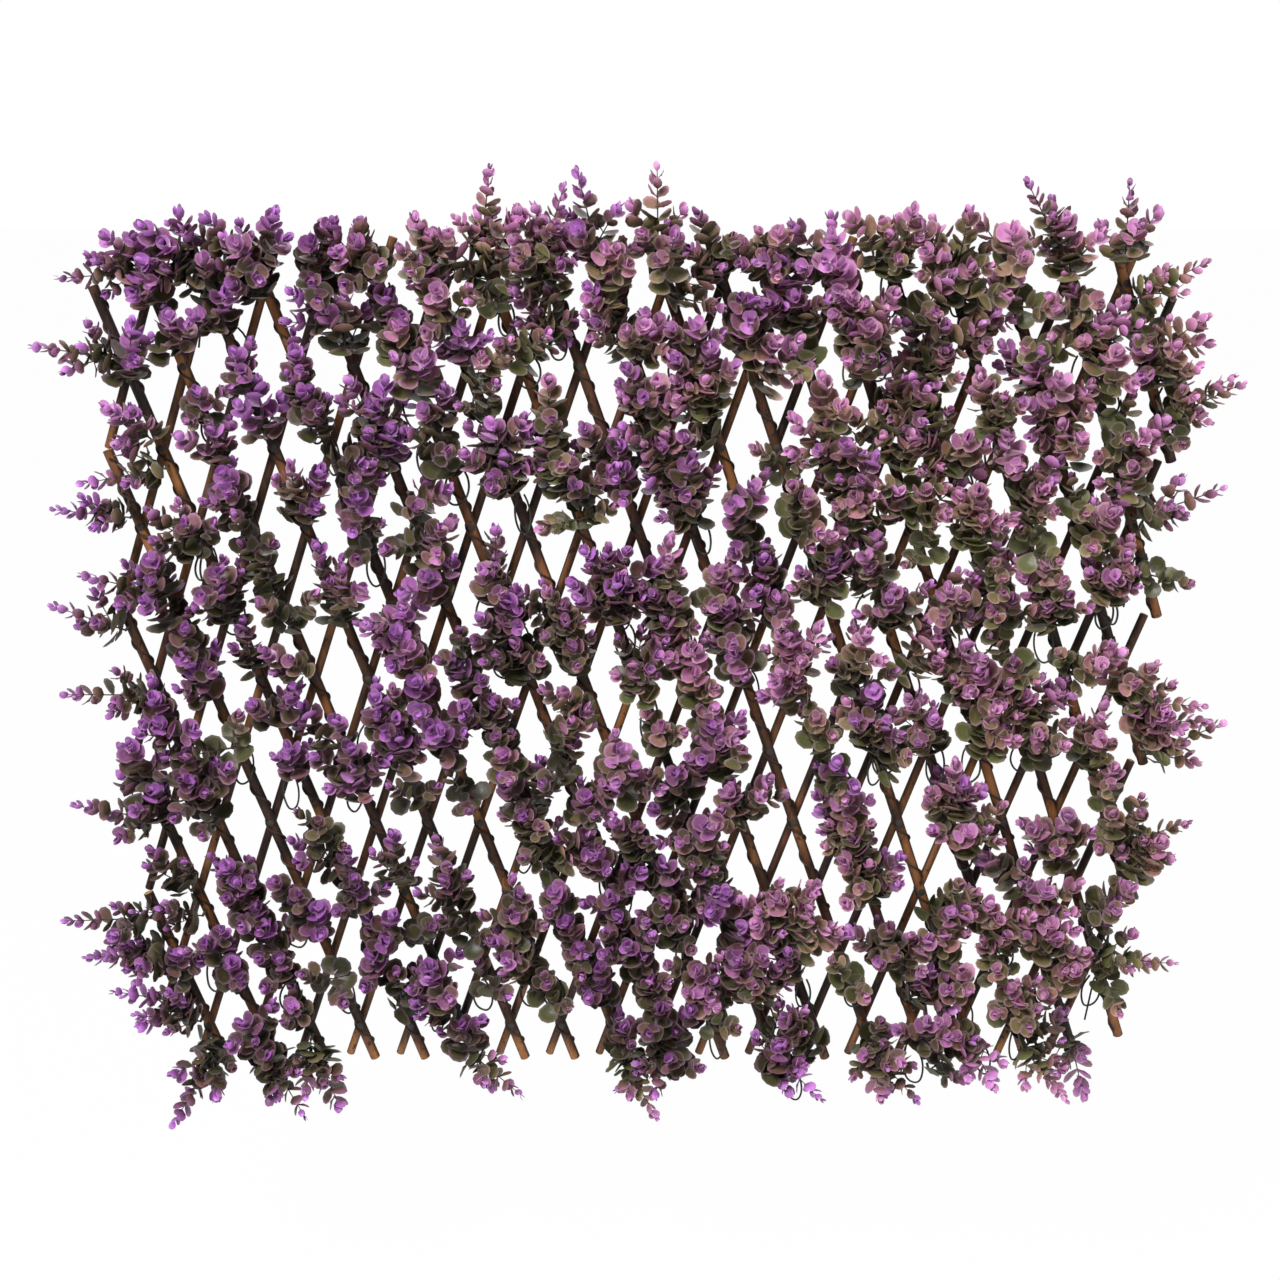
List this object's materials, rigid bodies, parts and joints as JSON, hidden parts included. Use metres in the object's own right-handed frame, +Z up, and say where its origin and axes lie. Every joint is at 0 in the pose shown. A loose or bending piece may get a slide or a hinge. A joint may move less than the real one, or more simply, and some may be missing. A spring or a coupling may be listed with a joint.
{
  "type": "artificial leaf trellis",
  "caption": "Expanding willow lattice of crossed sticks nailed at every crossing, with artificial leaf garlands wound round its front sticks.",
  "frame": {"origin": "centre crossing of the lattice, midway between the two layers of sticks", "axes": "+X to the right across the panel, +Y from the leaves to the back of the panel, +Z up"},
  "size_m": [0.9464, 0.0935, 0.8028],
  "materials": {
    "front_willow": "dry willow bark, lightly varnished",
    "back_willow": "darker willow bark",
    "nail": "dull wire nail",
    "leaves": "moulded leaves in dusty green, mauve and purple"
  },
  "bodies": {
    "centre": {"centre_nail": "nail"},
    "front_01": {"front_stick_01": "front_willow", "leaf_garland_01": "leaves"},
    "front_02": {"front_stick_02": "front_willow"},
    "front_03": {"front_stick_03": "front_willow", "leaf_garland_02": "leaves"},
    "front_04": {"front_stick_04": "front_willow"},
    "front_05": {"front_stick_05": "front_willow", "leaf_garland_03": "leaves"},
    "front_06": {"front_stick_06": "front_willow"},
    "front_07": {"front_stick_07": "front_willow", "leaf_garland_04": "leaves"},
    "front_08": {"front_stick_08": "front_willow"},
    "front_09": {"front_stick_09": "front_willow", "leaf_garland_05": "leaves"},
    "front_10": {"front_stick_10": "front_willow"},
    "front_11": {"front_stick_11": "front_willow", "leaf_garland_06": "leaves"},
    "front_12": {"front_stick_12": "front_willow"},
    "front_13": {"front_stick_13": "front_willow", "leaf_garland_07": "leaves"},
    "front_14": {"front_stick_14": "front_willow"},
    "front_15": {"front_stick_15": "front_willow", "leaf_garland_08": "leaves"},
    "front_16": {"front_stick_16": "front_willow"},
    "front_17": {"front_stick_17": "front_willow", "leaf_garland_09": "leaves"},
    "front_18": {"front_stick_18": "front_willow"},
    "front_19": {"front_stick_19": "front_willow", "leaf_garland_10": "leaves"},
    "front_20": {"front_stick_20": "front_willow"},
    "front_21": {"front_stick_21": "front_willow", "leaf_garland_11": "leaves"},
    "front_22": {"front_stick_22": "front_willow"},
    "front_23": {"front_stick_23": "front_willow", "leaf_garland_12": "leaves"},
    "back_01": {"back_stick_01": "back_willow"},
    "back_02": {"back_stick_02": "back_willow"},
    "back_03": {"back_stick_03": "back_willow"},
    "back_04": {"back_stick_04": "back_willow"},
    "back_05": {"back_stick_05": "back_willow"},
    "back_06": {"back_stick_06": "back_willow"},
    "back_07": {"back_stick_07": "back_willow"},
    "back_08": {"back_stick_08": "back_willow"},
    "back_09": {"back_stick_09": "back_willow"},
    "back_10": {"back_stick_10": "back_willow"},
    "back_11": {"back_stick_11": "back_willow"},
    "back_12": {"back_stick_12": "back_willow"},
    "back_13": {"back_stick_13": "back_willow"},
    "back_14": {"back_stick_14": "back_willow"},
    "back_15": {"back_stick_15": "back_willow"},
    "back_16": {"back_stick_16": "back_willow"},
    "back_17": {"back_stick_17": "back_willow"},
    "back_18": {"back_stick_18": "back_willow"},
    "back_19": {"back_stick_19": "back_willow"},
    "back_20": {"back_stick_20": "back_willow"},
    "back_21": {"back_stick_21": "back_willow"},
    "back_22": {"back_stick_22": "back_willow"},
    "back_23": {"back_stick_23": "back_willow"}
  },
  "joints": [
    {"name": "fold", "type": "hinge", "parent": "centre", "child": "front_12", "pos_m": [0, 0, 0], "axis": [0, -1, 0], "range_deg": [-3, 30], "deforming": ["leaf_garland_01", "leaf_garland_02", "leaf_garland_03", "leaf_garland_04", "leaf_garland_05", "leaf_garland_06", "leaf_garland_07", "leaf_garland_08", "leaf_garland_09", "leaf_garland_10", "leaf_garland_11", "leaf_garland_12"]},
    {"name": "turn_back_12", "type": "hinge", "parent": "centre", "child": "back_12", "pos_m": [0, 0, 0], "axis": [0, 1, 0], "range_deg": [-3, 30]},
    {"name": "turn_front_01", "type": "hinge", "parent": "back_06", "child": "front_01", "pos_m": [-0.3655, 0, -0.3105], "axis": [0, -1, 0], "range_deg": [-6, 60]},
    {"name": "turn_front_02", "type": "hinge", "parent": "back_07", "child": "front_02", "pos_m": [-0.3225, 0, -0.3105], "axis": [0, -1, 0], "range_deg": [-6, 60]},
    {"name": "turn_front_03", "type": "hinge", "parent": "back_07", "child": "front_03", "pos_m": [-0.301, 0, -0.2484], "axis": [0, -1, 0], "range_deg": [-6, 60]},
    {"name": "turn_front_04", "type": "hinge", "parent": "back_07", "child": "front_04", "pos_m": [-0.2795, 0, -0.1863], "axis": [0, -1, 0], "range_deg": [-6, 60]},
    {"name": "turn_front_05", "type": "hinge", "parent": "back_07", "child": "front_05", "pos_m": [-0.258, 0, -0.1242], "axis": [0, -1, 0], "range_deg": [-6, 60]},
    {"name": "turn_front_06", "type": "hinge", "parent": "back_07", "child": "front_06", "pos_m": [-0.2365, 0, -0.0621], "axis": [0, -1, 0], "range_deg": [-6, 60]},
    {"name": "turn_front_07", "type": "hinge", "parent": "back_12", "child": "front_07", "pos_m": [-0.1075, 0, -0.3105], "axis": [0, -1, 0], "range_deg": [-6, 60]},
    {"name": "turn_front_08", "type": "hinge", "parent": "back_12", "child": "front_08", "pos_m": [-0.086, 0, -0.2484], "axis": [0, -1, 0], "range_deg": [-6, 60]},
    {"name": "turn_front_09", "type": "hinge", "parent": "back_12", "child": "front_09", "pos_m": [-0.0645, 0, -0.1863], "axis": [0, -1, 0], "range_deg": [-6, 60]},
    {"name": "turn_front_10", "type": "hinge", "parent": "back_12", "child": "front_10", "pos_m": [-0.043, 0, -0.1242], "axis": [0, -1, 0], "range_deg": [-6, 60]},
    {"name": "turn_front_11", "type": "hinge", "parent": "back_12", "child": "front_11", "pos_m": [-0.0215, 0, -0.0621], "axis": [0, -1, 0], "range_deg": [-6, 60]},
    {"name": "turn_front_13", "type": "hinge", "parent": "back_12", "child": "front_13", "pos_m": [0.0215, 0, 0.0621], "axis": [0, -1, 0], "range_deg": [-6, 60]},
    {"name": "turn_front_14", "type": "hinge", "parent": "back_12", "child": "front_14", "pos_m": [0.043, 0, 0.1242], "axis": [0, -1, 0], "range_deg": [-6, 60]},
    {"name": "turn_front_15", "type": "hinge", "parent": "back_12", "child": "front_15", "pos_m": [0.0645, 0, 0.1863], "axis": [0, -1, 0], "range_deg": [-6, 60]},
    {"name": "turn_front_16", "type": "hinge", "parent": "back_12", "child": "front_16", "pos_m": [0.086, 0, 0.2484], "axis": [0, -1, 0], "range_deg": [-6, 60]},
    {"name": "turn_front_17", "type": "hinge", "parent": "back_12", "child": "front_17", "pos_m": [0.1075, 0, 0.3105], "axis": [0, -1, 0], "range_deg": [-6, 60]},
    {"name": "turn_front_18", "type": "hinge", "parent": "back_17", "child": "front_18", "pos_m": [0.2365, 0, 0.0621], "axis": [0, -1, 0], "range_deg": [-6, 60]},
    {"name": "turn_front_19", "type": "hinge", "parent": "back_17", "child": "front_19", "pos_m": [0.258, 0, 0.1242], "axis": [0, -1, 0], "range_deg": [-6, 60]},
    {"name": "turn_front_20", "type": "hinge", "parent": "back_17", "child": "front_20", "pos_m": [0.2795, 0, 0.1863], "axis": [0, -1, 0], "range_deg": [-6, 60]},
    {"name": "turn_front_21", "type": "hinge", "parent": "back_17", "child": "front_21", "pos_m": [0.301, 0, 0.2484], "axis": [0, -1, 0], "range_deg": [-6, 60]},
    {"name": "turn_front_22", "type": "hinge", "parent": "back_17", "child": "front_22", "pos_m": [0.3225, 0, 0.3105], "axis": [0, -1, 0], "range_deg": [-6, 60]},
    {"name": "turn_front_23", "type": "hinge", "parent": "back_18", "child": "front_23", "pos_m": [0.3655, 0, 0.3105], "axis": [0, -1, 0], "range_deg": [-6, 60]},
    {"name": "turn_back_23", "type": "hinge", "parent": "front_18", "child": "back_23", "pos_m": [0.3655, 0, -0.3105], "axis": [0, 1, 0], "range_deg": [-6, 60]},
    {"name": "turn_back_22", "type": "hinge", "parent": "front_17", "child": "back_22", "pos_m": [0.3225, 0, -0.3105], "axis": [0, 1, 0], "range_deg": [-6, 60]},
    {"name": "turn_back_21", "type": "hinge", "parent": "front_17", "child": "back_21", "pos_m": [0.301, 0, -0.2484], "axis": [0, 1, 0], "range_deg": [-6, 60]},
    {"name": "turn_back_20", "type": "hinge", "parent": "front_17", "child": "back_20", "pos_m": [0.2795, 0, -0.1863], "axis": [0, 1, 0], "range_deg": [-6, 60]},
    {"name": "turn_back_19", "type": "hinge", "parent": "front_17", "child": "back_19", "pos_m": [0.258, 0, -0.1242], "axis": [0, 1, 0], "range_deg": [-6, 60]},
    {"name": "turn_back_18", "type": "hinge", "parent": "front_17", "child": "back_18", "pos_m": [0.2365, 0, -0.0621], "axis": [0, 1, 0], "range_deg": [-6, 60]},
    {"name": "turn_back_17", "type": "hinge", "parent": "front_12", "child": "back_17", "pos_m": [0.1075, 0, -0.3105], "axis": [0, 1, 0], "range_deg": [-6, 60]},
    {"name": "turn_back_16", "type": "hinge", "parent": "front_12", "child": "back_16", "pos_m": [0.086, 0, -0.2484], "axis": [0, 1, 0], "range_deg": [-6, 60]},
    {"name": "turn_back_15", "type": "hinge", "parent": "front_12", "child": "back_15", "pos_m": [0.0645, 0, -0.1863], "axis": [0, 1, 0], "range_deg": [-6, 60]},
    {"name": "turn_back_14", "type": "hinge", "parent": "front_12", "child": "back_14", "pos_m": [0.043, 0, -0.1242], "axis": [0, 1, 0], "range_deg": [-6, 60]},
    {"name": "turn_back_13", "type": "hinge", "parent": "front_12", "child": "back_13", "pos_m": [0.0215, 0, -0.0621], "axis": [0, 1, 0], "range_deg": [-6, 60]},
    {"name": "turn_back_11", "type": "hinge", "parent": "front_12", "child": "back_11", "pos_m": [-0.0215, 0, 0.0621], "axis": [0, 1, 0], "range_deg": [-6, 60]},
    {"name": "turn_back_10", "type": "hinge", "parent": "front_12", "child": "back_10", "pos_m": [-0.043, 0, 0.1242], "axis": [0, 1, 0], "range_deg": [-6, 60]},
    {"name": "turn_back_09", "type": "hinge", "parent": "front_12", "child": "back_09", "pos_m": [-0.0645, 0, 0.1863], "axis": [0, 1, 0], "range_deg": [-6, 60]},
    {"name": "turn_back_08", "type": "hinge", "parent": "front_12", "child": "back_08", "pos_m": [-0.086, 0, 0.2484], "axis": [0, 1, 0], "range_deg": [-6, 60]},
    {"name": "turn_back_07", "type": "hinge", "parent": "front_12", "child": "back_07", "pos_m": [-0.1075, 0, 0.3105], "axis": [0, 1, 0], "range_deg": [-6, 60]},
    {"name": "turn_back_06", "type": "hinge", "parent": "front_07", "child": "back_06", "pos_m": [-0.2365, 0, 0.0621], "axis": [0, 1, 0], "range_deg": [-6, 60]},
    {"name": "turn_back_05", "type": "hinge", "parent": "front_07", "child": "back_05", "pos_m": [-0.258, 0, 0.1242], "axis": [0, 1, 0], "range_deg": [-6, 60]},
    {"name": "turn_back_04", "type": "hinge", "parent": "front_07", "child": "back_04", "pos_m": [-0.2795, 0, 0.1863], "axis": [0, 1, 0], "range_deg": [-6, 60]},
    {"name": "turn_back_03", "type": "hinge", "parent": "front_07", "child": "back_03", "pos_m": [-0.301, 0, 0.2484], "axis": [0, 1, 0], "range_deg": [-6, 60]},
    {"name": "turn_back_02", "type": "hinge", "parent": "front_07", "child": "back_02", "pos_m": [-0.3225, 0, 0.3105], "axis": [0, 1, 0], "range_deg": [-6, 60]},
    {"name": "turn_back_01", "type": "hinge", "parent": "front_06", "child": "back_01", "pos_m": [-0.3655, 0, 0.3105], "axis": [0, 1, 0], "range_deg": [-6, 60]}
  ],
  "couplings": [
    {"joint": "turn_back_12", "follows": "fold", "ratio": 1},
    {"joint": "turn_front_01", "follows": "fold", "ratio": 2},
    {"joint": "turn_front_02", "follows": "fold", "ratio": 2},
    {"joint": "turn_front_03", "follows": "fold", "ratio": 2},
    {"joint": "turn_front_04", "follows": "fold", "ratio": 2},
    {"joint": "turn_front_05", "follows": "fold", "ratio": 2},
    {"joint": "turn_front_06", "follows": "fold", "ratio": 2},
    {"joint": "turn_front_07", "follows": "fold", "ratio": 2},
    {"joint": "turn_front_08", "follows": "fold", "ratio": 2},
    {"joint": "turn_front_09", "follows": "fold", "ratio": 2},
    {"joint": "turn_front_10", "follows": "fold", "ratio": 2},
    {"joint": "turn_front_11", "follows": "fold", "ratio": 2},
    {"joint": "turn_front_13", "follows": "fold", "ratio": 2},
    {"joint": "turn_front_14", "follows": "fold", "ratio": 2},
    {"joint": "turn_front_15", "follows": "fold", "ratio": 2},
    {"joint": "turn_front_16", "follows": "fold", "ratio": 2},
    {"joint": "turn_front_17", "follows": "fold", "ratio": 2},
    {"joint": "turn_front_18", "follows": "fold", "ratio": 2},
    {"joint": "turn_front_19", "follows": "fold", "ratio": 2},
    {"joint": "turn_front_20", "follows": "fold", "ratio": 2},
    {"joint": "turn_front_21", "follows": "fold", "ratio": 2},
    {"joint": "turn_front_22", "follows": "fold", "ratio": 2},
    {"joint": "turn_front_23", "follows": "fold", "ratio": 2},
    {"joint": "turn_back_23", "follows": "fold", "ratio": 2},
    {"joint": "turn_back_22", "follows": "fold", "ratio": 2},
    {"joint": "turn_back_21", "follows": "fold", "ratio": 2},
    {"joint": "turn_back_20", "follows": "fold", "ratio": 2},
    {"joint": "turn_back_19", "follows": "fold", "ratio": 2},
    {"joint": "turn_back_18", "follows": "fold", "ratio": 2},
    {"joint": "turn_back_17", "follows": "fold", "ratio": 2},
    {"joint": "turn_back_16", "follows": "fold", "ratio": 2},
    {"joint": "turn_back_15", "follows": "fold", "ratio": 2},
    {"joint": "turn_back_14", "follows": "fold", "ratio": 2},
    {"joint": "turn_back_13", "follows": "fold", "ratio": 2},
    {"joint": "turn_back_11", "follows": "fold", "ratio": 2},
    {"joint": "turn_back_10", "follows": "fold", "ratio": 2},
    {"joint": "turn_back_09", "follows": "fold", "ratio": 2},
    {"joint": "turn_back_08", "follows": "fold", "ratio": 2},
    {"joint": "turn_back_07", "follows": "fold", "ratio": 2},
    {"joint": "turn_back_06", "follows": "fold", "ratio": 2},
    {"joint": "turn_back_05", "follows": "fold", "ratio": 2},
    {"joint": "turn_back_04", "follows": "fold", "ratio": 2},
    {"joint": "turn_back_03", "follows": "fold", "ratio": 2},
    {"joint": "turn_back_02", "follows": "fold", "ratio": 2},
    {"joint": "turn_back_01", "follows": "fold", "ratio": 2}
  ]
}
